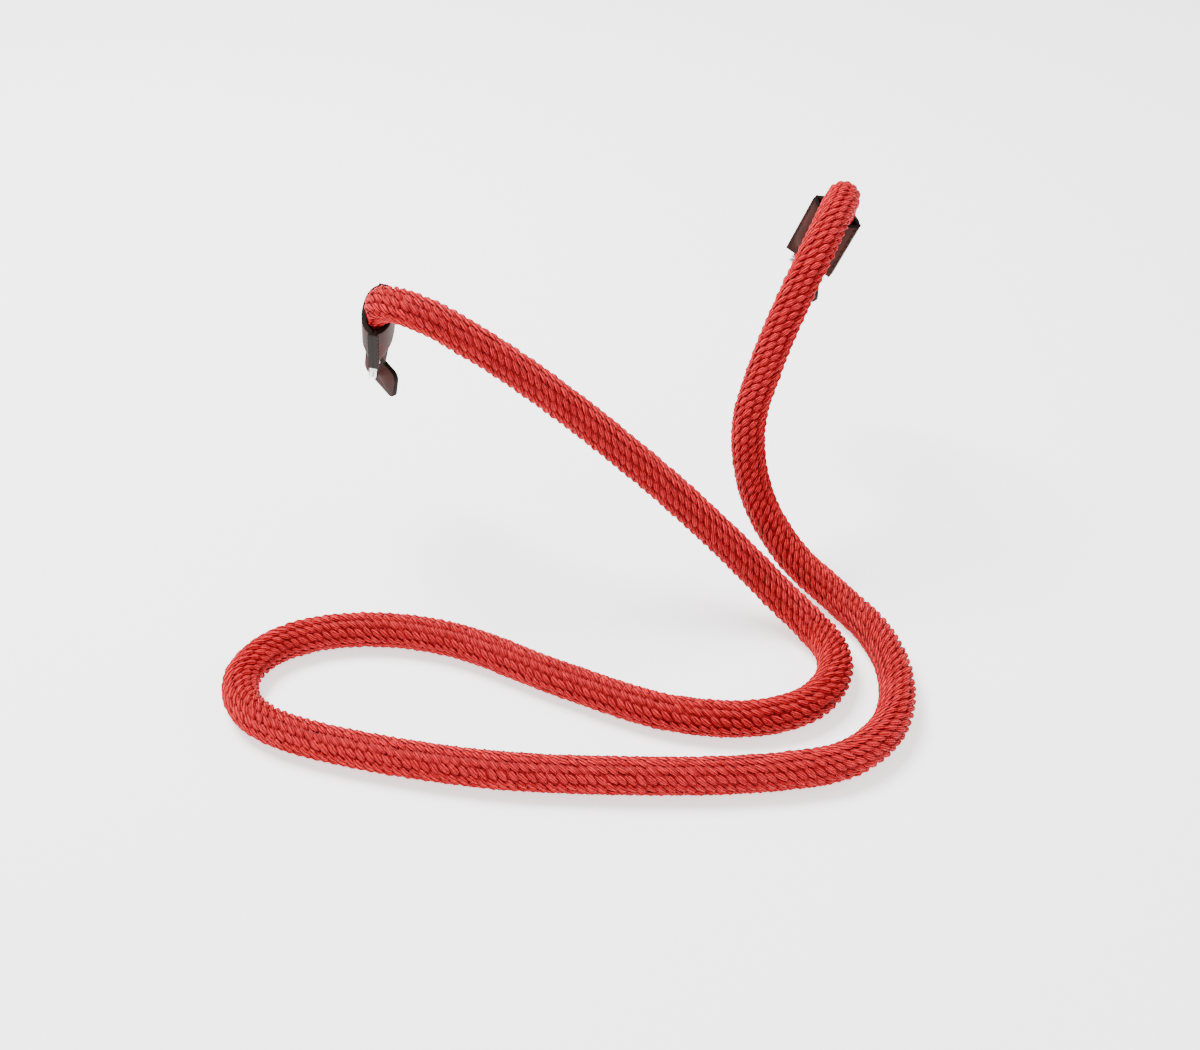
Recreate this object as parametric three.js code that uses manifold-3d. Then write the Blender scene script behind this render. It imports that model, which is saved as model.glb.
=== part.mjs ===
// Camera neck strap: one braided rope, and at each end a folded leather clamp, a split ring
// and a leather protector. Millimetres, +Z up, +X from the left end to the right end and +Y
// away from the viewer. The origin is the eye of the left carrying lug, where the strap hangs.
// The ends stand raised as they do on a carrying lug, and the middle of the rope lies on a table.
import * as THREE from 'three';
import { mergeVertices } from 'three/addons/utils/BufferGeometryUtils.js';
import Module from 'manifold-3d';

const wasm = await Module();
wasm.setup();

// Rope
const ROPE_DIAMETER = 11;
const ROPE_SIDES = 12;
const ROPE_STEPS = 80;
const ROPE_SEAT_DEPTH = 14;        // length of rope held inside each leather clamp
const ROPE_SQUEEZE = 0.62;         // the held rope is pressed to this share of its thickness
const ROPE_SPREAD = 1.12;          // and spreads to this share of its width
const SQUEEZE_START = 4;           // above the mouth
const TABLE_HEIGHT = -65.5;        // the rope's middle rests on this level
const LYING = TABLE_HEIGHT + ROPE_DIAMETER / 2;

// Leather clamp: two layers, folded round the ring and sewn on both sides of the rope
const LEATHER = 1.4;               // one layer
const CLAMP_WIDTH = 17.6;
const CLAMP_LENGTH = 22.5;         // from the mouth to the square shoulders
const CLAMP_BULGE_WIDTH = 15.4;    // where the layers part to pass round the rope
const CLAMP_WALL = 1.15;           // over the rope, where the leather is stretched
const TONGUE_WIDTH = 7.5;
const RING_DISTANCE = 26;          // from the mouth to the ring's wire
const FOLD_RADIUS = 3;             // outside of the fold round the wire
const FIT_GAP = 0.3;               // kept between neighbours

// Split ring of two coils
const RING_OUTER_RADIUS = 7;
const RING_WIRE = 1.3;             // radial thickness
const RING_HEIGHT = 2.6;           // both coils together
const RING_GROOVE = 0.35;          // depth of the seam between the coils
const RING_SEGMENTS = 40;
const RING_MEAN_RADIUS = RING_OUTER_RADIUS - RING_WIRE / 2;

// Leather protector
const PAD_THICKNESS = 1.6;
const PAD_CORNER = 2.5;
const PAD_HOLE_GAP = 0.45;         // free space round the wire in the hole

const LEATHER_BROWN = new THREE.MeshStandardMaterial({
  name: 'leather', color: 0x5e382e, roughness: 0.55, metalness: 0,
});
const ROPE_RED = new THREE.MeshStandardMaterial({
  name: 'rope', color: 0xd43232, roughness: 0.8, metalness: 0,
});
const RING_STEEL = new THREE.MeshStandardMaterial({
  name: 'steel', color: 0xb9b7b4, roughness: 0.3, metalness: 1,
});

// Each end is placed by the middle of its clamp's mouth, the way the rope leaves it and the
// direction of the clamp's width. The clamp's fold goes round the ring's wire, and the
// protector hangs on the ring by a hole: padSpan is its reach along the face, padDrop along padUp.
const LEFT_END = {
  side: 'left',
  mouth: new THREE.Vector3(-0.5, -20.9, 22.9),
  leaves: new THREE.Vector3(-0.02, -0.564, 0.826),
  width: new THREE.Vector3(-0.335, -0.7, -0.49),
  ringMiddle: new THREE.Vector3(-0.7, -2.4, -3.66),
  ringNormal: new THREE.Vector3(0.927, -0.208, -0.288),
  padPoint: new THREE.Vector3(0, -3, -5.6),
  padNormal: new THREE.Vector3(-0.912, -0.409, 0),
  padUp: new THREE.Vector3(0.119, -0.265, 0.953),
  padSpan: [-6.8, 9.7],
  padDrop: [-7.7, 2.8],
};
const RIGHT_END = {
  side: 'right',
  mouth: new THREE.Vector3(151.5, -9, 28.5),
  leaves: new THREE.Vector3(0.217, -0.353, 0.91),
  width: new THREE.Vector3(0.636, -0.655, -0.408),
  ringMiddle: new THREE.Vector3(148.6, 4.9, 1.6),
  ringNormal: new THREE.Vector3(0.643, 0.158, 0.749),
  padPoint: new THREE.Vector3(150, 7.6, -0.5),
  padNormal: new THREE.Vector3(0.912, 0.409, 0),
  padUp: new THREE.Vector3(0, 0, 1),
  padSpan: [-5.5, 6.2],
  padDrop: [-10.5, 6],
};

// The rope's route from the left clamp to the right one.
const ROUTE = [
  [1.3, -27, 27.7], [6, -33.4, 28.8], [12, -38.2, 27.2], [18.5, -42, 23.6],
  [32.5, -47.8, 13.5], [51.5, -56.5, -2.5], [73.5, -70, -22.5],
  [89.2, -81.5, -38.2], [102.5, -93, -52.7], [110.3, -105, -59.3], [112.1, -113.5, LYING],
  [110.3, -122.7, LYING], [104.5, -130.6, LYING], [95, -135.8, LYING], [79, -136.3, LYING],
  [57.5, -127.5, LYING], [31.5, -105, LYING], [5.5, -79.5, LYING], [-15.5, -68, LYING],
  [-34.5, -64.5, LYING], [-49, -67.8, LYING], [-57.5, -77, LYING], [-58.5, -89, LYING],
  [-50.5, -102, LYING], [-5.5, -130.5, LYING], [38.5, -147.5, LYING],
  [79.5, -158, LYING], [99.5, -158.5, LYING], [115, -150, LYING], [125, -133, LYING],
  [127.5, -112, LYING], [122.7, -93, -59.2], [113.3, -78.5, -51.5], [105.8, -67, -36],
  [104.5, -59, -15], [112, -53, 4], [123.2, -46, 22.5], [132.8, -39.3, 34.4], [139.6, -32, 39],
  [146, -23.3, 39.5], [150.2, -14.8, 35.2],
].map(([x, y, z]) => new THREE.Vector3(x, y, z));

// Right-handed placement whose axes are the given directions.
function placement(origin, xAxis, yAxis, zAxis) {
  const matrix = new THREE.Matrix4().makeBasis(xAxis, yAxis, zAxis);
  return matrix.setPosition(origin);
}

// Clamp frame: X along the width, Z the way the rope leaves, origin in the mouth.
function clampPlacement(end) {
  const leaves = end.leaves.clone().normalize();
  const width = end.width.clone().addScaledVector(leaves, -end.width.dot(leaves)).normalize();
  return placement(end.mouth, width, leaves.clone().cross(width), leaves);
}

// Ring frame: Y along the ring's axis.
function ringPlacement(end) {
  const axis = end.ringNormal.clone().normalize();
  const turn = new THREE.Quaternion().setFromUnitVectors(new THREE.Vector3(0, 1, 0), axis);
  return new THREE.Matrix4().compose(end.ringMiddle, turn, new THREE.Vector3(1, 1, 1));
}

// Protector frame: X along the face, Y up the face, Z the face's normal.
function padPlacement(end) {
  const normal = end.padNormal.clone().normalize();
  const across = end.padUp.clone().cross(normal).normalize();
  return placement(end.padPoint, across, normal.clone().cross(across), normal);
}

function toSolid(geometry) {
  const bare = geometry.clone();
  bare.deleteAttribute('normal');
  bare.deleteAttribute('uv');
  const merged = mergeVertices(bare, 1e-4);
  return new wasm.Manifold(new wasm.Mesh({
    numProp: 3,
    vertProperties: new Float32Array(merged.attributes.position.array),
    triVerts: new Uint32Array(merged.index.array),
  }));
}

function toGeometry(solid) {
  const mesh = solid.getMesh();
  const geometry = new THREE.BufferGeometry();
  geometry.setAttribute('position', new THREE.BufferAttribute(new Float32Array(mesh.vertProperties), 3));
  geometry.setIndex(new THREE.BufferAttribute(new Uint32Array(mesh.triVerts), 1));
  geometry.computeVertexNormals();
  return geometry;
}

function makeMesh(name, geometry, material) {
  const mesh = new THREE.Mesh(geometry, material.clone());
  mesh.name = name;
  return mesh;
}

// Presses the rope flat where a clamp holds it.
function squeeze(geometry, end) {
  const place = clampPlacement(end);
  const local = place.clone().invert();
  const position = geometry.attributes.position;
  const point = new THREE.Vector3();
  for (let i = 0; i < position.count; i += 1) {
    point.fromBufferAttribute(position, i).applyMatrix4(local);
    if (Math.hypot(point.x, point.y) < 2 * ROPE_DIAMETER && point.z > -2 * ROPE_SEAT_DEPTH) {
      const pressed = 1 - THREE.MathUtils.smoothstep(point.z, 0, SQUEEZE_START);
      point.x *= 1 + (ROPE_SPREAD - 1) * pressed;
      point.y *= 1 + (ROPE_SQUEEZE - 1) * pressed;
      point.applyMatrix4(place);
      position.setXYZ(i, point.x, point.y, point.z);
    }
  }
  return geometry;
}

// The whole centreline, with a straight stretch inside each clamp.
function ropeCurve() {
  const seat = (end, depth) => end.mouth.clone()
    .addScaledVector(end.leaves.clone().normalize(), -depth);
  return new THREE.CatmullRomCurve3([
    seat(LEFT_END, ROPE_SEAT_DEPTH), seat(LEFT_END, ROPE_SEAT_DEPTH / 2), LEFT_END.mouth,
    ...ROUTE,
    RIGHT_END.mouth, seat(RIGHT_END, ROPE_SEAT_DEPTH / 2), seat(RIGHT_END, ROPE_SEAT_DEPTH),
  ]);
}

function ropeGeometry(radius) {
  const section = new THREE.Shape();
  for (let side = 0; side < ROPE_SIDES; side += 1) {
    const angle = (2 * Math.PI * side) / ROPE_SIDES;
    const point = [radius * Math.cos(angle), radius * Math.sin(angle)];
    if (side === 0) section.moveTo(...point);
    else section.lineTo(...point);
  }
  section.closePath();
  const tube = new THREE.ExtrudeGeometry(section, {
    steps: ROPE_STEPS, bevelEnabled: false, curveSegments: 1, extrudePath: ropeCurve(),
  });
  return squeeze(squeeze(tube, LEFT_END), RIGHT_END);
}

// Half thickness of the closed clamp at a place across its width, at a depth below the mouth.
function clampHalfThickness(across, depth) {
  const fullBulge = (ROPE_DIAMETER / 2) * ROPE_SQUEEZE + FIT_GAP + CLAMP_WALL - LEATHER;
  const reach = Math.min(1, Math.abs(across) / (CLAMP_BULGE_WIDTH / 2));
  const shape = (1 - reach ** 2.6) ** 0.7;
  const fade = THREE.MathUtils.clamp((depth - ROPE_SEAT_DEPTH) / (CLAMP_LENGTH - ROPE_SEAT_DEPTH - 1), 0, 1);
  const swell = 0.5 + 0.5 * Math.cos(Math.PI * fade);
  return LEATHER + fullBulge * shape * swell;
}

// Outer form of the clamp, lofted through sections from the mouth down to the shoulders.
function clampBody() {
  const acrossSteps = 18;
  const depths = [0, 4, 9, 13, 15, 16.5, 18, 19.5, 21, CLAMP_LENGTH];
  const half = CLAMP_WIDTH / 2;
  const ring = 2 * (acrossSteps + 1);
  const positions = [];
  for (const depth of depths) {
    for (const side of [1, -1]) {
      for (let step = 0; step <= acrossSteps; step += 1) {
        const across = side * half * Math.cos((Math.PI * step) / acrossSteps);
        positions.push(across, side * clampHalfThickness(across, depth), -depth);
      }
    }
  }
  const index = [];
  const last = (depths.length - 1) * ring;
  for (let row = 0; row < depths.length - 1; row += 1) {
    for (let point = 0; point < ring; point += 1) {
      const next = (point + 1) % ring;
      const upper = row * ring;
      const lower = upper + ring;
      index.push(upper + point, lower + next, upper + next, upper + point, lower + point, lower + next);
    }
  }
  const top = positions.length / 3;
  positions.push(0, 0, 0, 0, 0, -CLAMP_LENGTH);
  for (let point = 0; point < ring; point += 1) {
    const next = (point + 1) % ring;
    index.push(top, point, next, top + 1, last + next, last + point);
  }
  const geometry = new THREE.BufferGeometry();
  geometry.setAttribute('position', new THREE.Float32BufferAttribute(positions, 3));
  geometry.setIndex(index);
  return geometry;
}

// The narrower tongue that folds round the ring's wire.
function clampTongue() {
  const start = -CLAMP_LENGTH + 1.5;
  const neck = -CLAMP_LENGTH - 0.2;
  const outline = new THREE.Shape();
  outline.moveTo(LEATHER, start);
  outline.lineTo(-LEATHER, start);
  outline.lineTo(-LEATHER, neck);
  outline.absarc(0, -RING_DISTANCE, FOLD_RADIUS, Math.PI - 0.5, 2 * Math.PI + 0.5, false);
  outline.lineTo(LEATHER, neck);
  outline.closePath();
  const geometry = new THREE.ExtrudeGeometry(outline, {
    depth: TONGUE_WIDTH, bevelEnabled: false, curveSegments: 12,
  });
  geometry.translate(0, 0, -TONGUE_WIDTH / 2);
  const turn = new THREE.Matrix4().makeBasis(
    new THREE.Vector3(0, 1, 0), new THREE.Vector3(0, 0, 1), new THREE.Vector3(1, 0, 0));
  return geometry.applyMatrix4(turn);
}

// Ring section turned round Y: a rounded block with a seam between the two coils.
function ringGeometry(grow) {
  const inner = RING_OUTER_RADIUS - RING_WIRE - grow;
  const outer = RING_OUTER_RADIUS + grow;
  const half = RING_HEIGHT / 2 + grow;
  const ease = 0.35;
  const seam = grow > 0 ? 0 : RING_GROOVE;
  const profile = [
    [inner + ease, -half], [outer - ease, -half], [outer, -half + ease], [outer, -ease],
    [outer - seam, 0], [outer, ease], [outer, half - ease], [outer - ease, half],
    [inner + ease, half], [inner, half - ease], [inner, -half + ease], [inner + ease, -half],
  ].map(([radius, height]) => new THREE.Vector2(radius, height));
  return new THREE.LatheGeometry(profile, RING_SEGMENTS);
}

function clampGeometry(end) {
  const local = clampPlacement(end).invert();
  const roomRadius = ROPE_DIAMETER / 2 + FIT_GAP / ROPE_SQUEEZE;
  const ropeRoom = ropeGeometry(roomRadius).applyMatrix4(local);
  const wireRoom = ringGeometry(FIT_GAP).applyMatrix4(local.clone().multiply(ringPlacement(end)));
  const solid = toSolid(clampBody())
    .add(toSolid(clampTongue()))
    .subtract(toSolid(ropeRoom))
    .subtract(toSolid(wireRoom));
  return toGeometry(solid);
}

// A plate with rounded corners and the hole that the ring's wire goes through.
function padGeometry(end) {
  const [near, far] = end.padSpan;
  const [low, high] = end.padDrop;
  const plate = new THREE.Shape();
  plate.moveTo(near + PAD_CORNER, low);
  plate.lineTo(far - PAD_CORNER, low);
  plate.absarc(far - PAD_CORNER, low + PAD_CORNER, PAD_CORNER, -Math.PI / 2, 0, false);
  plate.absarc(far - PAD_CORNER, high - PAD_CORNER, PAD_CORNER, 0, Math.PI / 2, false);
  plate.absarc(near + PAD_CORNER, high - PAD_CORNER, PAD_CORNER, Math.PI / 2, Math.PI, false);
  plate.absarc(near + PAD_CORNER, low + PAD_CORNER, PAD_CORNER, Math.PI, 1.5 * Math.PI, false);
  const geometry = new THREE.ExtrudeGeometry(plate, {
    depth: PAD_THICKNESS, bevelEnabled: false, curveSegments: 5,
  });
  geometry.translate(0, 0, -PAD_THICKNESS / 2);
  const ringRoom = ringGeometry(PAD_HOLE_GAP);
  ringRoom.applyMatrix4(padPlacement(end).invert().multiply(ringPlacement(end)));
  return toGeometry(toSolid(geometry).subtract(toSolid(ringRoom)));
}

function addPlaced(parent, mesh, matrix) {
  matrix.decompose(mesh.position, mesh.quaternion, mesh.scale);
  parent.add(mesh);
}

function buildEnd(end) {
  const group = new THREE.Group();
  addPlaced(group, makeMesh(`${end.side}_clamp`, clampGeometry(end), LEATHER_BROWN), clampPlacement(end));
  addPlaced(group, makeMesh(`${end.side}_ring`, ringGeometry(0), RING_STEEL), ringPlacement(end));
  addPlaced(group, makeMesh(`${end.side}_protector`, padGeometry(end), LEATHER_BROWN), padPlacement(end));
  return group;
}

const strap = new THREE.Group();
strap.add(makeMesh('rope', ropeGeometry(ROPE_DIAMETER / 2), ROPE_RED));
strap.add(buildEnd(LEFT_END));
strap.add(buildEnd(RIGHT_END));

export default strap;
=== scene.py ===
"""Looks of a braided rope neck strap with leather clamps, split rings and leather protectors.

Lengths in the tables below are millimetres; meshes are written in metres in the frame's axes.
"""

import logging
import math
from dataclasses import dataclass
from enum import Enum

import bpy
import numpy as np
from mathutils import Matrix, Vector


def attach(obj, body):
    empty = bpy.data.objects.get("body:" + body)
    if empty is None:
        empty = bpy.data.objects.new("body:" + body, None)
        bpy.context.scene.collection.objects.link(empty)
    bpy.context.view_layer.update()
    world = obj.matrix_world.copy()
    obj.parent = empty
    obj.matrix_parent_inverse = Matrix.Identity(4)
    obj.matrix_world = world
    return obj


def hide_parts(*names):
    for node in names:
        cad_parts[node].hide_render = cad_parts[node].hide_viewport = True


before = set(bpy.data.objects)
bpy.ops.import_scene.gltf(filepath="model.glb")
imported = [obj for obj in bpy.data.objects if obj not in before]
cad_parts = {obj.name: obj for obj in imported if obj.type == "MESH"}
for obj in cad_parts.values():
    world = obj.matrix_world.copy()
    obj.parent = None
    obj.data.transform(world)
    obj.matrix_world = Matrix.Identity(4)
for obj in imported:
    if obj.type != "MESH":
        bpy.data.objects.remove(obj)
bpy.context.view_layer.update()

LOG = logging.getLogger("neck_strap")
MM = 0.001
Vec = tuple[float, float, float]

# The rope, the way its ends are pressed in the clamps, and the table that it lies on.
ROPE_RADIUS = 5.5
SEAT_DEPTH = 14.0
SQUEEZE = 0.62
SPREAD = 1.12
PRESS_MARGIN = 6.0
PRESS_FADE = 7.0
TABLE = -65.5
LYING = TABLE + ROPE_RADIUS

# How many samples each span of the centreline gets, and the step between its samples.
SPAN_SAMPLES = 40
LINE_STEP = 0.5
FIRST_SIDE = (0.3, 0.2, 1.0)

# The circle of the ring's wire, and the angles from which leather edges are cut and shaded sharp.
RING_RADIUS = 6.35
CUT_ANGLE = math.radians(50)
SHARP_ANGLE = math.radians(40)


class Side(Enum):
    """Which end of the strap a piece belongs to."""

    LEFT = "left"
    RIGHT = "right"


@dataclass(frozen=True)
class End:
    """Placement of one end's clamp, ring and protector, as in the solids."""

    side: Side
    mouth: Vec
    leaves: Vec
    width: Vec
    ring_middle: Vec
    ring_normal: Vec
    pad_point: Vec
    pad_normal: Vec
    pad_up: Vec
    pad_span: tuple[float, float]
    pad_drop: tuple[float, float]


LEFT_END = End(
    side=Side.LEFT,
    mouth=(-0.5, -20.9, 22.9),
    leaves=(-0.02, -0.564, 0.826),
    width=(-0.335, -0.7, -0.49),
    ring_middle=(-0.7, -2.4, -3.66),
    ring_normal=(0.927, -0.208, -0.288),
    pad_point=(0, -3, -5.6),
    pad_normal=(-0.912, -0.409, 0),
    pad_up=(0.119, -0.265, 0.953),
    pad_span=(-6.8, 9.7),
    pad_drop=(-7.7, 2.8),
)
RIGHT_END = End(
    side=Side.RIGHT,
    mouth=(151.5, -9, 28.5),
    leaves=(0.217, -0.353, 0.91),
    width=(0.636, -0.655, -0.408),
    ring_middle=(148.6, 4.9, 1.6),
    ring_normal=(0.643, 0.158, 0.749),
    pad_point=(150, 7.6, -0.5),
    pad_normal=(0.912, 0.409, 0),
    pad_up=(0, 0, 1),
    pad_span=(-5.5, 6.2),
    pad_drop=(-10.5, 6),
)

# The rope's route between the clamps' mouths, the same points as the solid's.
ROUTE: list[Vec] = [
    (1.3, -27, 27.7), (6, -33.4, 28.8), (12, -38.2, 27.2), (18.5, -42, 23.6),
    (32.5, -47.8, 13.5), (51.5, -56.5, -2.5), (73.5, -70, -22.5), (89.2, -81.5, -38.2),
    (102.5, -93, -52.7), (110.3, -105, -59.3), (112.1, -113.5, LYING), (110.3, -122.7, LYING),
    (104.5, -130.6, LYING), (95, -135.8, LYING), (79, -136.3, LYING), (57.5, -127.5, LYING),
    (31.5, -105, LYING), (5.5, -79.5, LYING), (-15.5, -68, LYING), (-34.5, -64.5, LYING),
    (-49, -67.8, LYING), (-57.5, -77, LYING), (-58.5, -89, LYING), (-50.5, -102, LYING),
    (-5.5, -130.5, LYING), (38.5, -147.5, LYING), (79.5, -158, LYING), (99.5, -158.5, LYING),
    (115, -150, LYING), (125, -133, LYING), (127.5, -112, LYING), (122.7, -93, -59.2),
    (113.3, -78.5, -51.5), (105.8, -67, -36), (104.5, -59, -15), (112, -53, 4),
    (123.2, -46, 22.5), (132.8, -39.3, 34.4), (139.6, -32, 39), (146, -23.3, 39.5),
    (150.2, -14.8, 35.2),
]


def unit(vector: Vec | np.ndarray) -> np.ndarray:
    """Scales a vector to length one.

    Args:
        vector: any non-zero vector.

    Returns:
        The unit vector.
    """
    array = np.asarray(vector, float)
    return array / np.linalg.norm(array)


def axes_matrix(origin: Vec, x: np.ndarray, y: np.ndarray, z: np.ndarray) -> Matrix:
    """Makes a placement in metres from axes and an origin in millimetres.

    Args:
        origin: the placed frame's origin in millimetres.
        x: its first axis.
        y: its second axis.
        z: its third axis.

    Returns:
        The 4x4 placement.
    """
    rows = [[x[i], y[i], z[i], origin[i] * MM] for i in range(3)]
    return Matrix(rows + [[0, 0, 0, 1]])


def clamp_matrix(end: End) -> Matrix:
    """Places a clamp: X along the width, Z the way the rope leaves, origin in the mouth.

    Args:
        end: the end of the strap.

    Returns:
        The placement in metres.
    """
    z = unit(end.leaves)
    width = np.asarray(end.width, float)
    x = unit(width - z * float(width @ z))
    return axes_matrix(end.mouth, x, np.cross(z, x), z)


def ring_matrix(end: End) -> Matrix:
    """Places a ring: Z along its axis, X towards the clamp's fold.

    Args:
        end: the end of the strap.

    Returns:
        The placement in metres.
    """
    z = unit(end.ring_normal)
    towards = np.asarray(end.mouth, float) - np.asarray(end.ring_middle, float)
    x = unit(towards - z * float(towards @ z))
    return axes_matrix(end.ring_middle, x, np.cross(z, x), z)


def pad_matrix(end: End) -> Matrix:
    """Places a protector: X along the face, Y up the face, Z the face's normal.

    Args:
        end: the end of the strap.

    Returns:
        The placement in metres.
    """
    z = unit(end.pad_normal)
    x = unit(np.cross(np.asarray(end.pad_up, float), z))
    return axes_matrix(end.pad_point, x, np.cross(z, x), z)


class Centreline:
    """The rope's smooth centreline with frames that don't twist along it."""

    def __init__(self, points: list[Vec], step: float = LINE_STEP) -> None:
        """Samples the curve through the points and carries a frame along it.

        Args:
            points: the route in millimetres.
            step: the distance between samples in millimetres.
        """
        self.points = np.asarray(points, float)
        dense = self._curve(SPAN_SAMPLES)
        length = np.r_[0, np.cumsum(np.linalg.norm(np.diff(dense, axis=0), axis=1))]
        self.length = float(length[-1])
        self.s = np.linspace(0, self.length, int(self.length / step) + 1)
        self.at = np.stack([np.interp(self.s, length, dense[:, i]) for i in range(3)], 1)
        self.tangent = np.gradient(self.at, self.s, axis=0)
        self.tangent /= np.linalg.norm(self.tangent, axis=1)[:, None]
        self.normal = self._carried_normal()
        self.binormal = np.cross(self.tangent, self.normal)

    def _curve(self, per_span: int) -> np.ndarray:
        """Centripetal curve through the points, with its end tangents from mirrored points."""
        p = self.points
        p = np.vstack([2 * p[0] - p[1], p, 2 * p[-1] - p[-2]])
        t = np.linspace(0, 1, per_span, endpoint=False)[:, None]
        spans = []
        for i in range(1, len(p) - 2):
            gaps = [math.sqrt(np.linalg.norm(p[i + k] - p[i + k - 1])) for k in range(3)]
            start = self._slope(p[i - 1], p[i], p[i + 1], gaps[0], gaps[1]) * gaps[1]
            finish = self._slope(p[i], p[i + 1], p[i + 2], gaps[1], gaps[2]) * gaps[1]
            jump = p[i + 1] - p[i]
            cubic = start + finish - 2 * jump
            square = 3 * jump - 2 * start - finish
            spans.append(p[i] + t * (start + t * (square + t * cubic)))
        return np.vstack(spans + [p[-2][None]])

    @staticmethod
    def _slope(a: np.ndarray, b: np.ndarray, c: np.ndarray, d0: float, d1: float) -> np.ndarray:
        """Slope of the curve at b, with its neighbours a and c the gaps d0 and d1 away."""
        return (b - a) / d0 - (c - a) / (d0 + d1) + (c - b) / d1

    def _carried_normal(self) -> np.ndarray:
        """Carries one normal along the curve without turning it about the tangent."""
        normals = np.empty_like(self.at)
        current = unit(np.cross(self.tangent[0], FIRST_SIDE))
        for i, tangent in enumerate(self.tangent):
            current = unit(current - tangent * float(current @ tangent))
            normals[i] = current
        return normals

    def _mix(self, s: np.ndarray, table: np.ndarray) -> np.ndarray:
        """Reads a table of vectors at distances along the rope."""
        return np.stack([np.interp(s, self.s, table[:, i]) for i in range(3)], -1)

    def place(self, s: np.ndarray, theta: np.ndarray, radius: np.ndarray) -> np.ndarray:
        """Finds points round the centreline.

        Args:
            s: distances along the rope in millimetres.
            theta: angles round it.
            radius: distances from it in millimetres.

        Returns:
            Points in metres, one row for each.
        """
        upward = np.cos(theta)[..., None] * self._mix(s, self.normal)
        sideward = np.sin(theta)[..., None] * self._mix(s, self.binormal)
        out = upward + sideward
        out = self._pressed(out, s, LEFT_END)
        out = self._pressed(out, self.length - s, RIGHT_END)
        return (self._mix(s, self.at) + radius[..., None] * out) * MM

    @staticmethod
    def _pressed(out: np.ndarray, depth: np.ndarray, end: End) -> np.ndarray:
        """Presses the rope flat near one end.

        Args:
            out: directions away from the centreline.
            depth: the way along the rope from that end in millimetres.
            end: the end whose clamp does the pressing.

        Returns:
            The pressed directions.
        """
        frame_rows = np.asarray(clamp_matrix(end))
        share = np.clip((SEAT_DEPTH + PRESS_MARGIN - depth) / PRESS_FADE, 0, 1)
        share = (share * share * (3 - 2 * share))[..., None]
        across, thick = frame_rows[:3, 0], frame_rows[:3, 1]
        flat = (out @ thick)[..., None] * thick * (SQUEEZE - 1)
        wide = (out @ across)[..., None] * across * (SPREAD - 1)
        return out + share * (flat + wide)


class Sock:
    """A node's output socket that arithmetic can be written on."""

    def __init__(self, graph: "Graph", socket: bpy.types.NodeSocket) -> None:
        """Keeps the socket and its graph.

        Args:
            graph: the graph that new nodes are added to.
            socket: the output.
        """
        self.graph = graph
        self.socket = socket

    def _math(self, operation: str, other: "Sock | float") -> "Sock":
        """Adds a node that works on this socket and another value."""
        return self.graph.node("ShaderNodeMath", {"operation": operation}, {0: self, 1: other})

    def __add__(self, other: "Sock | float") -> "Sock":
        """Adds."""
        return self._math("ADD", other)

    def __sub__(self, other: "Sock | float") -> "Sock":
        """Subtracts."""
        return self._math("SUBTRACT", other)

    def __mul__(self, other: "Sock | float") -> "Sock":
        """Multiplies."""
        return self._math("MULTIPLY", other)

    def clamp(self) -> "Sock":
        """Limits the value to 0..1."""
        return self.graph.node("ShaderNodeClamp", {}, {"Value": self})


class Graph:
    """Node graph of one material, ending in a principled shader."""

    def __init__(self, name: str) -> None:
        """Makes the material.

        Args:
            name: its name.
        """
        self.material = bpy.data.materials.new(name)
        self.material.use_nodes = True
        self.tree = self.material.node_tree
        self.shader = self.tree.nodes["Principled BSDF"]

    def node(self, kind: str, settings: dict, inputs: dict, output: int | str = 0) -> Sock:
        """Adds a node.

        Args:
            kind: the node's type name.
            settings: properties to set on it.
            inputs: values or sockets for its inputs, by name or place.
            output: which of its outputs is returned.

        Returns:
            The chosen output.
        """
        node = self.tree.nodes.new(kind)
        for key, value in settings.items():
            setattr(node, key, value)
        for key, value in inputs.items():
            self._feed(node.inputs[key], value)
        return Sock(self, node.outputs[output])

    def _feed(self, socket: bpy.types.NodeSocket, value: object) -> None:
        """Links a socket to an input, or writes a plain value into it."""
        if isinstance(value, Sock):
            self.tree.links.new(value.socket, socket)
        else:
            socket.default_value = value

    def mix(self, factor: Sock, low: tuple | Sock, high: tuple | Sock) -> Sock:
        """Mixes two colours.

        Args:
            factor: 0 for low, 1 for high.
            low: first colour, or a colour socket.
            high: second colour, or a colour socket.

        Returns:
            The mixed colour.
        """
        return self.node("ShaderNodeMix", {"data_type": "RGBA"}, {0: factor, 6: low, 7: high}, 2)

    def surface(self, **values: object) -> bpy.types.Material:
        """Feeds the shader.

        Args:
            values: its inputs, with underscores for the spaces in their names.

        Returns:
            The finished material.
        """
        for key, value in values.items():
            self._feed(self.shader.inputs[key.replace("_", " ")], value)
        return self.material

    def bump(self, height: Sock, distance: float, strength: float) -> Sock:
        """Turns a height into a normal.

        Args:
            height: the height to read.
            distance: how far a height of one stands up, in metres.
            strength: how much of it shows, 0 to 1.

        Returns:
            The normal.
        """
        return self.node("ShaderNodeBump", {}, {
            "Height": height, "Distance": distance, "Strength": strength}, "Normal")


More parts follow.
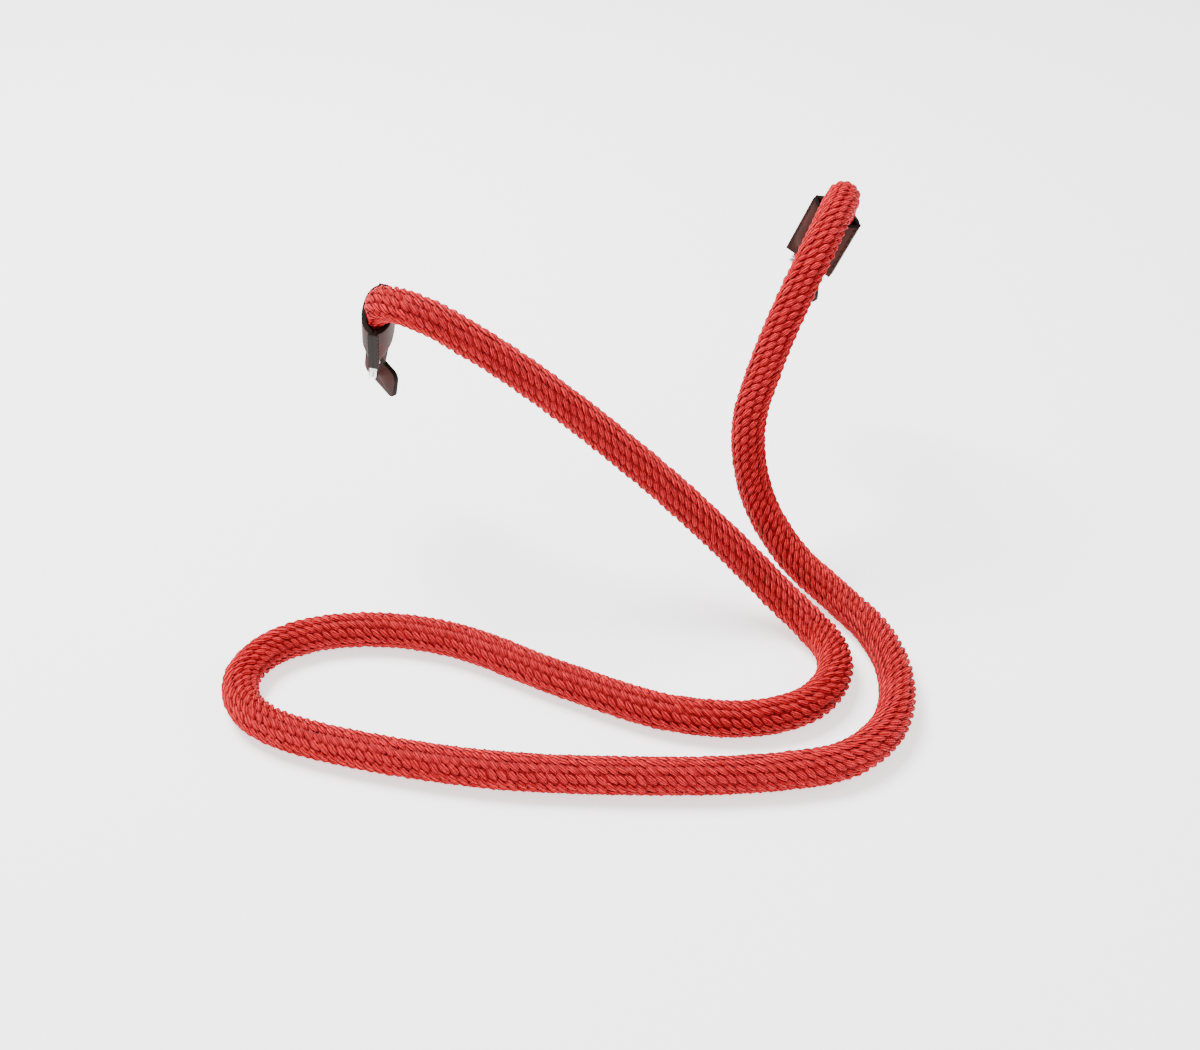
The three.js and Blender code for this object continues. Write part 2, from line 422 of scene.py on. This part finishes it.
@dataclass(frozen=True)
class FibreFinish:
    """Braided yarn: fine fibres along each stitch, painted shade where stitches dive under others
    and a painted highlight on their tops.
    """

    name: str
    # The first colour is shade painted where stitches dive under others, the last a painted
    # highlight on stitch tops; body is the yarn's own red.
    painted_shade: Vec
    body: Vec
    bright: Vec
    plies: int = 3
    stretch: Vec = (1.1, 9.0, 1.0)
    wander: float = 4.0
    # Weights of height, fibres, plies and tone in the painted highlight, and of height, fibres and
    # plies in the painted shade.
    highlight_weights: tuple[float, ...] = (0.7, 2.6, 0.9, 0.3)
    shade_weights: tuple[float, ...] = (1.35, 2.2, 0.8)
    relief: float = 0.0008

    def build(self) -> bpy.types.Material:
        """Makes the material.

        Returns:
            The material.
        """
        g = Graph(self.name)
        uv = g.node("ShaderNodeUVMap", {"uv_map": "stitch"}, {})
        stretched = g.node("ShaderNodeMapping", {}, {"Vector": uv, "Scale": self.stretch})
        fibres = g.node("ShaderNodeTexNoise", {}, {
            "Vector": stretched, "Scale": 1.0, "Detail": 3.0, "Roughness": 0.65})
        across = g.node("ShaderNodeSeparateXYZ", {}, {"Vector": uv}, "Y")
        plies = g.node("ShaderNodeMath", {"operation": "SINE"}, {
            0: across * (2 * math.pi * self.plies) + fibres * self.wander}) * 0.5 + 0.5
        height = g.node("ShaderNodeAttribute", {"attribute_name": "height"}, {}, "Fac")
        tone = g.node("ShaderNodeAttribute", {"attribute_name": "tone"}, {}, "Fac")
        # Painted highlight: stitch tops, with the yarn's fibre and ply streaks and a random tone
        # for each stitch, raise the colour towards the brightest one.
        rise, fine, ply, varied = self.highlight_weights
        highlight = height * rise + (fibres - 0.5) * fine + (plies - 0.5) * ply + (tone - 0.5) * varied
        # Painted shade: stitch edges and tips, where stitches dive under others, and the core with
        # its height of zero sink towards the deepest colour; fibre and ply streaks darken it too.
        rise, fine, ply = self.shade_weights
        shade = (height * rise + (fibres - 0.5) * fine + (plies - 0.7) * ply).clamp()
        # The yarn's own red, darkened by painted shade and raised by the painted highlight.
        lower = g.mix(shade, (*self.painted_shade, 1), (*self.body, 1))
        colour = g.mix((highlight.clamp() * 1.3 - 0.35).clamp(), lower, (*self.bright, 1))
        normal = g.bump(fibres * 0.9 + plies * 0.8, self.relief, 0.8)
        return g.surface(
            Base_Color=colour, Roughness=0.6, Sheen_Weight=0.03, Sheen_Roughness=0.4,
            Specular_IOR_Level=0.08, Normal=normal)


@dataclass(frozen=True)
class LeatherFinish:
    """Smooth leather with a fine grain and a cloudy tone."""

    name: str
    dark: Vec
    light: Vec
    roughness: float
    cloud_scale: float = 180.0
    pore_scale: float = 2600.0
    relief: float = 0.00006

    def build(self) -> bpy.types.Material:
        """Makes the material.

        Returns:
            The material.
        """
        g = Graph(self.name)
        place = g.node("ShaderNodeTexCoord", {}, {}, "Object")
        cloud = g.node("ShaderNodeTexNoise", {}, {
            "Vector": place, "Scale": self.cloud_scale, "Detail": 4.0})
        pores = g.node("ShaderNodeTexVoronoi", {}, {
            "Vector": place, "Scale": self.pore_scale})
        colour = g.mix(((cloud - 0.35) * 2.6).clamp(), (*self.dark, 1), (*self.light, 1))
        return g.surface(
            Base_Color=colour, Roughness=(cloud * 0.2 + (self.roughness - 0.1)).clamp(),
            Specular_IOR_Level=0.07,
            Normal=g.bump(pores + cloud * 0.8, self.relief, 0.5))


@dataclass(frozen=True)
class PlainFinish:
    """One even colour, such as thread, wire or the floor."""

    name: str
    colour: Vec
    roughness: float
    metallic: float = 0.0
    gloss: float = 0.5
    glow: float = 0.0

    def build(self) -> bpy.types.Material:
        """Makes the material.

        Returns:
            The material.
        """
        return Graph(self.name).surface(
            Base_Color=(*self.colour, 1), Roughness=self.roughness, Metallic=self.metallic,
            Specular_IOR_Level=self.gloss, Emission_Color=(*self.colour, 1),
            Emission_Strength=self.glow)


# The rope's colours: painted shade, the yarn's own red and a painted highlight.
FIBRE = FibreFinish(
    "rope_fibre", painted_shade=(0.10, 0.002, 0.003), body=(0.58, 0.004, 0.010), bright=(0.86, 0.026, 0.038))
LEATHER = LeatherFinish("leather_face", (0.020, 0.004, 0.003), (0.060, 0.013, 0.008), 0.6)
EDGE_PAINT = PlainFinish("leather_edge", (0.008, 0.004, 0.003), 0.7, gloss=0.1)
THREAD = PlainFinish("thread", (0.035, 0.012, 0.008), 0.8, gloss=0.1)
STEEL = PlainFinish("ring_steel", (0.62, 0.61, 0.6), 0.22, metallic=1.0)
FLOOR = PlainFinish("floor", (0.93, 0.93, 0.93), 0.9, gloss=0.0, glow=1.5)


def new_mesh(name: str, verts: np.ndarray, faces: list | np.ndarray) -> bpy.types.Object:
    """Makes a mesh object and links it to the scene.

    Args:
        name: the object's name.
        verts: its vertices in metres.
        faces: its faces as rows of vertex numbers.

    Returns:
        The object.
    """
    mesh = bpy.data.meshes.new(name)
    faces = faces.tolist() if isinstance(faces, np.ndarray) else faces
    mesh.from_pydata(verts.tolist(), [], faces)
    mesh.update()
    piece = bpy.data.objects.new(name, mesh)
    bpy.context.scene.collection.objects.link(piece)
    return piece


def activate(piece: bpy.types.Object) -> None:
    """Makes a piece the only selected and the active one.

    Args:
        piece: the piece.
    """
    bpy.ops.object.select_all(action="DESELECT")
    piece.select_set(True)
    bpy.context.view_layer.objects.active = piece


def apply_modifier(piece: bpy.types.Object, kind: str, **settings: object) -> None:
    """Adds a modifier to a piece and applies it.

    Args:
        piece: the piece.
        kind: the modifier's type.
        settings: its settings by name.
    """
    modifier = piece.modifiers.new(kind.lower(), kind)
    for key, value in settings.items():
        setattr(modifier, key, value)
    activate(piece)
    bpy.ops.object.modifier_apply(modifier=modifier.name)


def soften_edges(piece: bpy.types.Object, width: float) -> None:
    """Rounds a piece's sharp edges a little.

    Args:
        piece: the piece.
        width: the rounding's width in millimetres.
    """
    apply_modifier(piece, "BEVEL", width=width * MM, segments=2, limit_method="ANGLE",
                   angle_limit=CUT_ANGLE)


def smooth_shade(piece: bpy.types.Object) -> None:
    """Shades a piece smooth, apart from its sharp edges.

    Args:
        piece: the piece.
    """
    activate(piece)
    bpy.ops.object.shade_smooth_by_angle(angle=SHARP_ANGLE)


def put(piece: bpy.types.Object, matrix: Matrix) -> None:
    """Writes a placement into the mesh, so that the object stays at the origin.

    Args:
        piece: the piece.
        matrix: the placement in metres.
    """
    piece.data.transform(matrix)
    piece.data.update()


def register(piece: bpy.types.Object, slot: str, *nodes: str) -> None:
    """Hangs a finished piece on the root body and hides the solids that it replaces.

    Args:
        piece: the piece.
        slot: its material slot, not used.
        nodes: the solids that it replaces, if any.
    """
    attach(piece, "root")
    if nodes:
        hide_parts(*nodes)


@dataclass
class Braid:
    """Solid braid: columns of slanted, leaf-shaped stitches over a core that takes the yarn's
    painted shade.
    """

    line: Centreline
    columns: int = 12
    pitch: float = 2.65
    half_length: float = 2.7
    half_width: float = 1.1
    slant: float = math.radians(42)
    crown: float = 5.62
    root: float = 4.3
    stations: tuple[float, ...] = (-0.74, -0.26, 0.26, 0.74)
    across: tuple[float, ...] = (-1.0, -0.62, 0.0, 0.62, 1.0)
    wrap_radius: float = 5.3
    seed: int = 7
    turn_spread: float = 0.07
    along_spread: float = 0.1
    angle_spread: float = 0.03
    rise_spread: float = 0.07
    end_margin: float = 0.5
    end_limit: float = 0.2
    core_radius: float = 4.5
    core_sides: int = 14
    core_step: float = 2.4

    def _leaf(self) -> tuple[np.ndarray, list[tuple[int, ...]]]:
        """Makes one stitch as rows of (along, across, height, share) and its faces."""
        rows = []
        for u in self.stations:
            girth = (1 - abs(u) ** 1.8) ** 0.8
            rise = (1 - u * u) ** 0.6 * (0.9 + 0.2 * u)
            for v in self.across:
                rows.append((u, v * girth, rise * (1 - abs(v) ** 2.2) ** 0.65, v))
        rows.extend([(-1, 0, 0, 0), (1, 0, 0, 0)])
        side = len(self.across)
        faces = []
        for ring in range(len(self.stations) - 1):
            for k in range(side):
                a, b = ring * side + k, ring * side + (k + 1) % side
                faces.append((a, a + side, b + side, b))
        first, last, top = len(rows) - 2, len(rows) - 1, (len(self.stations) - 1) * side
        for k in range(side):
            n = (k + 1) % side
            faces.append((first, k, n))
            faces.append((last, top + n, top + k))
        return np.asarray(rows, float), faces

    def _stitches(self) -> tuple[np.ndarray, ...]:
        """Lays out every stitch.

        Returns:
            Distances along, angles, radii, heights, UVs and tones, one row for each vertex.
        """
        leaf, _ = self._leaf()
        count = int(self.line.length / self.pitch) + 2
        k, c = np.meshgrid(np.arange(-1, count), np.arange(self.columns), indexing="ij")
        offset = (c * (self.columns - 1) / self.columns) % 1
        rng = np.random.default_rng(self.seed)
        centre = ((k + offset) * self.pitch).ravel()
        angle = (c * 2 * math.pi / self.columns).ravel()
        inside = (centre > self.end_margin) & (centre < self.line.length - self.end_margin)
        centre, angle = centre[inside], angle[inside]
        jitter = rng.normal(0, 1, (4, len(centre)))
        turn = self.slant + jitter[0] * self.turn_spread
        along = leaf[:, 0] * self.half_length
        side = leaf[:, 1] * self.half_width
        ds = along * np.cos(turn)[:, None] - side * np.sin(turn)[:, None]
        dw = along * np.sin(turn)[:, None] + side * np.cos(turn)[:, None]
        s = centre[:, None] + ds + jitter[1][:, None] * self.along_spread
        theta = angle[:, None] + dw / self.wrap_radius + jitter[2][:, None] * self.angle_spread
        rise = self.crown - self.root + jitter[3][:, None] * self.rise_spread
        radius = self.root + rise * leaf[:, 2]
        shape = s.shape
        height = np.broadcast_to(leaf[:, 2], shape)
        shift = rng.uniform(0, 20, (len(centre), 2))
        u = np.broadcast_to(leaf[:, 0], shape) + shift[:, :1]
        v = np.broadcast_to(leaf[:, 3] * 0.5, shape) + np.floor(shift[:, 1:])
        tone = np.broadcast_to(rng.uniform(0, 1, len(centre))[:, None], shape)
        s = np.clip(s, self.end_limit, self.line.length - self.end_limit)
        return s, theta, radius, height, np.stack([u, v], -1), tone

    def _core(self) -> tuple[np.ndarray, list[tuple[int, ...]]]:
        """Makes the vertices and faces of a closed tube under the stitches."""
        sides = self.core_sides
        steps = int(self.line.length / self.core_step)
        s = np.repeat(np.linspace(0, self.line.length, steps + 1)[:, None], sides, 1)
        theta = np.broadcast_to(np.arange(sides) * 2 * math.pi / sides, s.shape)
        verts = self.line.place(s.ravel(), theta.ravel(), np.full(s.size, self.core_radius))
        faces = []
        for ring in range(steps):
            for k in range(sides):
                a, b = ring * sides + k, ring * sides + (k + 1) % sides
                faces.append((a, b, b + sides, a + sides))
        faces.append(tuple(range(sides - 1, -1, -1)))
        faces.append(tuple(steps * sides + k for k in range(sides)))
        return verts, faces

    def build(self) -> bpy.types.Object:
        """Makes the rope's mesh with its stitch coordinates.

        Returns:
            The rope.
        """
        s, theta, radius, height, uv, tone = self._stitches()
        _, leaf_faces = self._leaf()
        verts = self.line.place(s.ravel(), theta.ravel(), radius.ravel())
        per = s.shape[1]
        faces = [tuple(i + n * per for i in face)
                 for n in range(s.shape[0]) for face in leaf_faces]
        core_verts, core_faces = self._core()
        base = len(verts)
        faces += [tuple(i + base for i in face) for face in core_faces]
        rope = new_mesh("rope_braid", np.vstack([verts, core_verts]), faces)
        extra = len(core_verts)
        # The core's height of zero gives it the painted shade colour between the stitches.
        self._store(rope, np.r_[height.ravel(), np.zeros(extra)], "height")
        self._store(rope, np.r_[tone.ravel(), np.full(extra, 0.5)], "tone")
        layer = rope.data.uv_layers.new(name="stitch")
        loops = np.empty(len(rope.data.loops), int)
        rope.data.loops.foreach_get("vertex_index", loops)
        flat = np.vstack([uv.reshape(-1, 2), np.zeros((extra, 2))])
        layer.data.foreach_set("uv", flat[loops].astype(np.float32).ravel())
        rope.data.materials.append(FIBRE.build())
        activate(rope)
        bpy.ops.object.shade_smooth()
        return rope

    @staticmethod
    def _store(piece: bpy.types.Object, values: np.ndarray, name: str) -> None:
        """Writes one value for each vertex into a named attribute."""
        attribute = piece.data.attributes.new(name, "FLOAT", "POINT")
        attribute.data.foreach_set("value", values.astype(np.float32))


@dataclass
class Clamp:
    """A leather strip folded round the ring's wire, its two layers sewn beside the rope."""

    end: End
    leather: float = 1.4
    half_width: float = 8.8
    length: float = 22.5
    bulge_width: float = 15.4
    bulge: float = 3.3
    tongue: float = 3.75
    wire: float = 26.0
    fold: float = 2.3
    columns: int = 28
    depths: tuple[float, ...] = (0, 1.5, 4, 7, 10, 13, 14.5, 16, 17.5, 19, 20.5, 21.8)
    layer_gap: float = 0.02
    step_down: float = 0.12
    fold_start: float = 0.35
    fold_steps: int = 9
    edge: float = 0.22
    ray_start: float = 12.0
    seam: float = 8.2
    seam_depths: tuple[float, float] = (1.9, 21.0)
    cross_depth: float = 19.6
    cross_span: tuple[float, float] = (-4.7, 4.8)
    stitch_pitch: float = 2.35
    thread_radius: float = 0.34
    stitch_shape: Vec = (1.0, 0.75, 2.9)
    stitch_lift: float = 0.02

    def _half_gap(self, across: np.ndarray, depth: float) -> np.ndarray:
        """Distance from the middle plane to a layer's middle."""
        reach = np.minimum(1, np.abs(across) / (self.bulge_width / 2))
        fade = np.clip((depth - SEAT_DEPTH) / (self.length - SEAT_DEPTH - 1), 0, 1)
        swell = 0.5 + 0.5 * math.cos(math.pi * fade)
        return self.leather / 2 + self.layer_gap + self.bulge * (1 - reach ** 2.6) ** 0.7 * swell

    def _rows(self) -> list[tuple[float, float, float, float]]:
        """Rows of the strip as (depth, half width, fold angle or -1, side)."""
        front = [(d, self.half_width, -1.0, 1.0) for d in (*self.depths, self.length)]
        front += [(self.length + self.step_down, self.tongue, -1.0, 1.0)]
        angles = np.linspace(self.fold_start, math.pi - self.fold_start, self.fold_steps)
        turns = [(self.wire, self.tongue, angle, 0.0) for angle in angles]
        back = [(d, w, a, -side) for d, w, a, side in reversed(front)]
        return front + turns + back

    def build(self) -> bpy.types.Object:
        """Makes the folded strip with painted edges.

        Returns:
            The clamp's leather.
        """
        share = np.linspace(-1, 1, self.columns + 1)
        rows = []
        for depth, half, angle, side in self._rows():
            x = share * half
            if angle < 0:
                y, z = side * self._half_gap(x, depth), np.full_like(x, -depth)
            else:
                y = np.full_like(x, self.fold * math.cos(angle))
                z = np.full_like(x, -self.wire - self.fold * math.sin(angle))
            rows.append(np.stack([x, y, z], 1))
        verts = np.vstack(rows) * MM
        n = self.columns + 1
        faces = [(r * n + c, r * n + c + 1, (r + 1) * n + c + 1, (r + 1) * n + c)
                 for r in range(len(rows) - 1) for c in range(self.columns)]
        name = f"{self.end.side.value}_folded_leather"
        piece = new_mesh(name, verts, faces)
        piece.data.materials.append(LEATHER.build())
        piece.data.materials.append(EDGE_PAINT.build())
        apply_modifier(piece, "SOLIDIFY", thickness=self.leather * MM, offset=0.0,
                       use_rim=True, material_offset_rim=1)
        soften_edges(piece, self.edge)
        put(piece, clamp_matrix(self.end))
        smooth_shade(piece)
        return piece

    def _surface(self, leather: bpy.types.Object, x: float, side: int, z: float) -> float:
        """Finds how far the leather's outer face stands from the middle plane.

        Args:
            leather: the finished strip.
            x: the place along the clamp's width in millimetres.
            side: 1 for the front layer, -1 for the back one.
            z: the place along the clamp in millimetres.

        Returns:
            The distance in millimetres.
        """
        matrix = clamp_matrix(self.end)
        start = matrix @ (Vector((x, side * self.ray_start, z)) * MM)
        way = matrix.to_3x3() @ Vector((0.0, -side, 0.0))
        hit, point, _, _ = leather.ray_cast(start, way)
        return abs((matrix.inverted() @ point).y) / MM if hit else self.leather

    def thread(self, leather: bpy.types.Object) -> bpy.types.Object:
        """Makes the sewing beside the rope and across the clamp under the rope's end.

        Args:
            leather: the finished strip that the stitches lie on.

        Returns:
            The stitches.
        """
        pitch = self.stitch_pitch
        sides = [(x, -depth, 0.0) for x in (-self.seam, self.seam)
                 for depth in np.arange(*self.seam_depths, pitch)]
        cross = [(x, -self.cross_depth, 90.0) for x in np.arange(*self.cross_span, pitch)]
        pieces = []
        for x, z, turn in sides + cross:
            for side in (-1, 1):
                height = self._surface(leather, x, side, z)
                at = Vector((x, side * (height + self.stitch_lift), z)) * MM
                bpy.ops.mesh.primitive_uv_sphere_add(
                    segments=8, ring_count=6, radius=self.thread_radius * MM)
                stitch = bpy.context.object
                stitch.data.transform(Matrix.Diagonal((*self.stitch_shape, 1.0)))
                stitch.data.transform(Matrix.Rotation(math.radians(turn), 4, "Y"))
                stitch.data.transform(Matrix.Translation(at))
                pieces.append(stitch)
        bpy.ops.object.select_all(action="DESELECT")
        for stitch in pieces:
            stitch.select_set(True)
        bpy.context.view_layer.objects.active = pieces[0]
        bpy.ops.object.join()
        joined = bpy.context.object
        joined.name = f"{self.end.side.value}_sewing"
        joined.data.materials.append(THREAD.build())
        bpy.ops.object.shade_smooth()
        put(joined, clamp_matrix(self.end))
        return joined


@dataclass
class SplitRing:
    """Two close coils of round wire."""

    end: End
    wire: float = 0.62
    turns: float = 1.97
    steps: int = 118
    start: float = 0.9
    coil_height: float = 0.64
    crossing: tuple[float, float] = (0.44, 0.12)

    def build(self) -> bpy.types.Object:
        """Makes the ring as a swept wire turned into a mesh.

        Returns:
            The ring.
        """
        curve = bpy.data.curves.new("coil", "CURVE")
        curve.dimensions = "3D"
        curve.bevel_depth = self.wire * MM
        curve.bevel_resolution = 3
        curve.use_fill_caps = True
        spline = curve.splines.new("POLY")
        spline.points.add(self.steps)
        first, share = self.crossing
        for i in range(self.steps + 1):
            angle = 2 * math.pi * self.turns * i / self.steps + self.start
            crossed = min(1, max(0, (i / self.steps - first) / share))
            step = 0.5 - 0.5 * math.cos(math.pi * crossed)
            height = (step * 2 - 1) * self.coil_height
            point = (RING_RADIUS * math.cos(angle), RING_RADIUS * math.sin(angle), height)
            spline.points[i].co = (*(Vector(point) * MM), 1)
        name = f"{self.end.side.value}_split_ring"
        ring = bpy.data.objects.new(name, curve)
        bpy.context.scene.collection.objects.link(ring)
        activate(ring)
        bpy.ops.object.convert(target="MESH")
        ring = bpy.context.object
        ring.data.materials.clear()
        ring.data.materials.append(STEEL.build())
        bpy.ops.object.shade_smooth()
        put(ring, ring_matrix(self.end))
        return ring


@dataclass
class Protector:
    """A rounded leather plate with a hole that the ring's wire goes through."""

    end: End
    thickness: float = 1.6
    corner: float = 2.5
    edge: float = 0.25
    room: float = 1.0
    room_stretch: float = 1.75
    face_tilt: float = 0.7

    def build(self) -> bpy.types.Object:
        """Makes the plate and cuts its hole.

        Returns:
            The protector.
        """
        near, far = self.end.pad_span
        low, high = self.end.pad_drop
        bpy.ops.mesh.primitive_cube_add(size=1)
        plate = bpy.context.object
        plate.name = f"{self.end.side.value}_leather_protector"
        size = Vector((far - near, high - low, self.thickness)) * MM
        plate.data.transform(Matrix.Diagonal((*size, 1)))
        plate.data.transform(Matrix.Translation(Vector((near + far, low + high, 0)) * MM / 2))
        self._round_corners(plate)
        plate.data.materials.append(LEATHER.build())
        plate.data.materials.append(EDGE_PAINT.build())
        for polygon in plate.data.polygons:
            polygon.material_index = 0 if abs(polygon.normal.z) > self.face_tilt else 1
        soften_edges(plate, self.edge)
        self._cut_hole(plate)
        put(plate, pad_matrix(self.end))
        smooth_shade(plate)
        return plate

    def _round_corners(self, plate: bpy.types.Object) -> None:
        """Rounds the plate's four upright edges."""
        activate(plate)
        bpy.ops.object.mode_set(mode="EDIT")
        bpy.ops.mesh.select_mode(type="EDGE")
        bpy.ops.mesh.select_all(action="DESELECT")
        bpy.ops.object.mode_set(mode="OBJECT")
        for edge in plate.data.edges:
            a, b = (plate.data.vertices[i].co for i in edge.vertices)
            edge.select = abs(a.z - b.z) > self.thickness * MM * 0.5
        bpy.ops.object.mode_set(mode="EDIT")
        bpy.ops.mesh.bevel(offset=self.corner * MM, segments=5, affect="EDGES")
        bpy.ops.object.mode_set(mode="OBJECT")

    def _cut_hole(self, plate: bpy.types.Object) -> None:
        """Cuts the room that the ring's wire takes."""
        bpy.ops.mesh.primitive_torus_add(
            major_radius=RING_RADIUS * MM, minor_radius=self.room * MM,
            major_segments=48, minor_segments=16)
        cutter = bpy.context.object
        cutter.data.transform(Matrix.Diagonal((1, 1, self.room_stretch, 1)))
        put(cutter, pad_matrix(self.end).inverted() @ ring_matrix(self.end))
        apply_modifier(plate, "BOOLEAN", operation="DIFFERENCE", object=cutter, solver="EXACT")
        bpy.data.objects.remove(cutter)


@dataclass(frozen=True)
class Lamp:
    """One square soft light, with its place and size in metres and its power in watts."""

    name: str
    at: Vec
    size: float
    power: float


LAMPS = (Lamp("key", (-0.25, 0.3, 0.95), 0.5, 32.0), Lamp("fill", (0.9, -0.6, 0.9), 0.9, 5.0))


@dataclass
class Studio:
    """Pale table, soft light and the camera at the photograph's angle."""

    position: Vec = (-45.1, -423.3, 237.8)
    right: Vec = (0.96132, -0.27530, -0.00875)
    down: Vec = (-0.17053, -0.56990, -0.80382)
    forward: Vec = (0.21630, 0.77422, -0.59480)
    lens: float = 45.23
    floor_size: float = 6.0
    floor_at: Vec = (0.05, 0, TABLE * MM - 0.0003)
    aim: Vec = (0.05, -0.09, -0.03)
    surrounding: float = 0.8

    def camera(self) -> None:
        """Adds the camera."""
        data = bpy.data.cameras.new("camera")
        data.lens = self.lens
        data.sensor_width = 36.0
        data.clip_start = 0.01
        camera = bpy.data.objects.new("camera", data)
        bpy.context.scene.collection.objects.link(camera)
        up, back = -np.asarray(self.down), -np.asarray(self.forward)
        camera.matrix_world = axes_matrix(self.position, np.asarray(self.right), up, back)
        bpy.context.scene.camera = camera

    def floor(self) -> bpy.types.Object:
        """Adds the table.

        Returns:
            The table's top.
        """
        bpy.ops.mesh.primitive_plane_add(size=self.floor_size)
        floor = bpy.context.object
        floor.name = "floor"
        floor.data.transform(Matrix.Translation(self.floor_at))
        floor.data.materials.append(FLOOR.build())
        return floor

    def light(self, lamp: Lamp) -> bpy.types.Object:
        """Adds one light aimed at the strap.

        Args:
            lamp: the light to add.

        Returns:
            The light.
        """
        data = bpy.data.lights.new(lamp.name, "AREA")
        data.size = lamp.size
        data.energy = lamp.power
        light = bpy.data.objects.new(lamp.name, data)
        bpy.context.scene.collection.objects.link(light)
        turn = (Vector(self.aim) - Vector(lamp.at)).to_track_quat("-Z", "Y")
        light.matrix_world = Matrix.Translation(lamp.at) @ turn.to_matrix().to_4x4()
        return light

    def world(self) -> None:
        """Sets the even surrounding light."""
        world = bpy.data.worlds.new("studio")
        world.use_nodes = True
        background = world.node_tree.nodes["Background"]
        background.inputs["Color"].default_value = (1, 1, 1, 1)
        background.inputs["Strength"].default_value = self.surrounding
        bpy.context.scene.world = world


def seated(end: End, depth: float) -> Vec:
    """Finds a point of the rope inside a clamp.

    Args:
        end: the end of the strap.
        depth: how far the point is inside the clamp's mouth in millimetres.

    Returns:
        The point in millimetres.
    """
    return tuple(np.asarray(end.mouth) - unit(end.leaves) * depth)


def rope_centreline() -> Centreline:
    """Joins the route to the straight stretches inside the clamps.

    Returns:
        The rope's centreline from end to end.
    """
    left = [seated(LEFT_END, SEAT_DEPTH), seated(LEFT_END, SEAT_DEPTH / 2), LEFT_END.mouth]
    right = [RIGHT_END.mouth, seated(RIGHT_END, SEAT_DEPTH / 2), seated(RIGHT_END, SEAT_DEPTH)]
    return Centreline(left + ROUTE + right)


def build_rope() -> None:
    line = rope_centreline()
    rope = Braid(line).build()
    register(rope, "rope", "rope")
    LOG.info("rope %.1f mm, %d vertices", line.length, len(rope.data.vertices))


def build_end(end: End) -> None:
    """Makes one end's leather, sewing, ring and protector.

    Args:
        end: the end of the strap.
    """
    side = end.side.value
    clamp = Clamp(end)
    leather = clamp.build()
    register(leather, "leather", f"{side}_clamp")
    register(clamp.thread(leather), "leather")
    register(SplitRing(end).build(), "ring_metal", f"{side}_ring")
    register(Protector(end).build(), "leather", f"{side}_protector")


def main() -> None:
    """Builds the scene."""
    logging.basicConfig(level=logging.INFO)
    studio = Studio()
    studio.camera()
    build_rope()
    for end in (LEFT_END, RIGHT_END):
        build_end(end)
    studio.floor()
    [studio.light(lamp) for lamp in LAMPS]
    studio.world()


if __name__ == "__main__":
    main()
